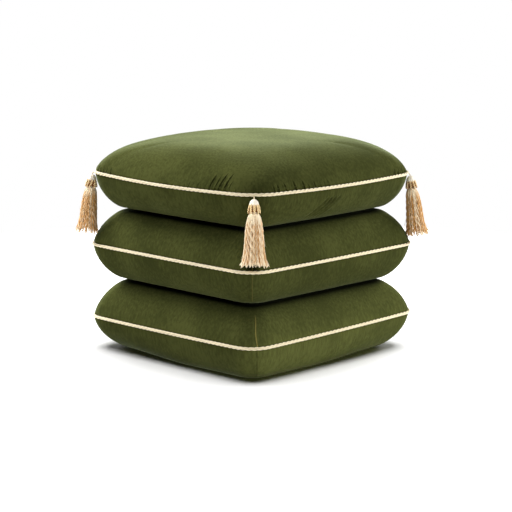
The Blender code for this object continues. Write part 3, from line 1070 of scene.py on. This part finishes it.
def towards(azimuth, elevation):
    """The direction from the stool to a bearing that is given as the camera's is."""
    around, above = math.radians(azimuth), math.radians(elevation)
    return Vector((math.sin(around) * math.cos(above),
                   -math.cos(around) * math.cos(above), math.sin(above)))


def photo_camera():
    """The photograph's camera: a long lens, looking slightly down on the near corner."""
    around = math.radians(AZIMUTH)
    right = Vector((math.cos(around), math.sin(around), 0))
    back = towards(AZIMUTH, ELEVATION)
    lens = bpy.data.cameras.new("photo_camera")
    lens.sensor_width = SENSOR
    lens.lens = SENSOR * FOCAL_PIXELS / IMAGE_SIDE
    camera = new_piece("photo_camera", lens)
    place = right * AIM_RIGHT + Vector((0, 0, AIM_HEIGHT)) + back * DISTANCE
    camera.matrix_world = Matrix.Translation(place) @ Matrix(
        (right, back.cross(right), back)).transposed().to_4x4()
    bpy.context.scene.camera = camera


def soft_box(name, azimuth, elevation, watts, lit, side=1.0, shading=None):
    """A square area light that looks at the stool from a bearing, as the camera does.
    Collections say what it lights and, if not everything does, what shades it."""
    back = towards(azimuth, elevation)
    lamp = bpy.data.lights.new(name, "AREA")
    lamp.shape = "SQUARE"
    lamp.size = side
    lamp.energy = watts
    light = new_piece(name, lamp)
    light.location = Vector((0, 0, BOX_AIM)) + back * BOX_DISTANCE
    light.rotation_euler = (-back).to_track_quat("-Z", "Y").to_euler()
    light.light_linking.receiver_collection = lit
    light.light_linking.blocker_collection = shading


def studio():
    """A white table before a white sweep, with soft boxes round the stool and one above
    the table, which keeps only a contact shadow."""
    bpy.ops.mesh.primitive_circle_add(vertices=96, radius=TABLE_RADIUS, fill_type="NGON")
    table = bpy.context.object
    table.name = "white_table"
    board, _, _ = new_material("matt_white_board", Base_Color=linear("F6F6F6"),
                               Roughness=0.9, Specular_IOR_Level=0.0)
    table.data.materials.append(board)
    # the sweep behind is white for the camera and sends no light of its own
    world = bpy.data.worlds.new("white_sweep")
    world.use_nodes = True
    world.node_tree.nodes["Background"].inputs["Color"].default_value = linear("FFFFFF")
    world.cycles_visibility.diffuse = False
    world.cycles_visibility.glossy = False
    bpy.context.scene.world = world
    on_table, on_cloth, on_foot, on_piping, on_tassels = [
        bpy.data.collections.new("on_" + name)
        for name in ("table", "cloth", "foot", "piping", "tassels")]
    for start, lit in (("white_table", on_table), ("velvet_cushion", on_cloth),
                       ("velvet_cushion_bottom", on_foot), ("rope_piping", on_piping),
                       ("tassel", on_tassels)):
        for piece in bpy.data.objects:
            if piece.name.startswith(start):
                lit.objects.link(piece)
    # the table is lit from above, a little from behind, and under the side corners
    soft_box("table_box", 225, 82, watts=245, lit=on_table, side=3.5)
    soft_box("left_floor_box", -98, 15, watts=16, lit=on_table)
    soft_box("right_floor_box", 186, 15, watts=34, lit=on_table)
    # the bright board just before the stool lights the bottom cushion from below
    soft_box("board_glow", 85, -20, watts=45, lit=on_foot, shading=on_foot)
    soft_box("tassel_box", 0, 25, watts=25, lit=on_tassels)
    # velvet drinks light in which rope and thread would glare, so each box is three
    # lamps: for the cloth, for the piping and for the tassels
    for name, azimuth, elevation, cloth, piping, thread in (
            ("far_left", -105, 20, 131, 42, 40), ("left", -70, 47, 135, 85, 60),
            ("near_left", -35, 33, 27, 24, 27), ("near_right", 90, 33, 20, 20, 24),
            ("right", 160, 33, 82, 58, 40), ("low", 120, 4, 21, 16, 15)):
        for watts, lit in ((cloth, on_cloth), (piping, on_piping), (thread, on_tassels)):
            soft_box(name + "_box", azimuth, elevation, watts, lit)
    bpy.context.scene.view_settings.view_transform = "Standard"


# ---- build ----
velvet = cotton_velvet()
cream = viscose("viscose_rope_laid", pale="F0E4C4", deep="C9AE7C", roughness=0.5,
                sheen=0.2, threads=1200.0, depth=0.3 * MM)
satin = viscose("viscose_satin_thread", pale="F6EEDC", deep="8A5418")
floss = viscose("viscose_floss_crimped", pale="F6E6C6", deep="CC9650")
looped = viscose("viscose_bullion_loops", pale="F2D69E", deep="8C4E12")

cloths = []
for cushion in CUSHIONS:
    pad = filled_cushion(cushion)
    dress(pad, "cushion_" + cushion.name, velvet)
    cloths.append(BVHTree.FromPolygons(
        [point.co for point in pad.data.vertices],
        [face.vertices for face in pad.data.polygons]))
    piping = laid_cord("rope_piping_" + cushion.name, seam_path(cushion), closed=True,
                       radius=PIPING_RADIUS, strands=ROPE_STRANDS, lay=ROPE_LAY)
    paint(piping, "shade", 0.6)
    dress(piping, "piping_" + cushion.name, cream)
for corner in CORNERS:
    add_tassel(corner, TOP, cloths[1:])

photo_camera()
studio()
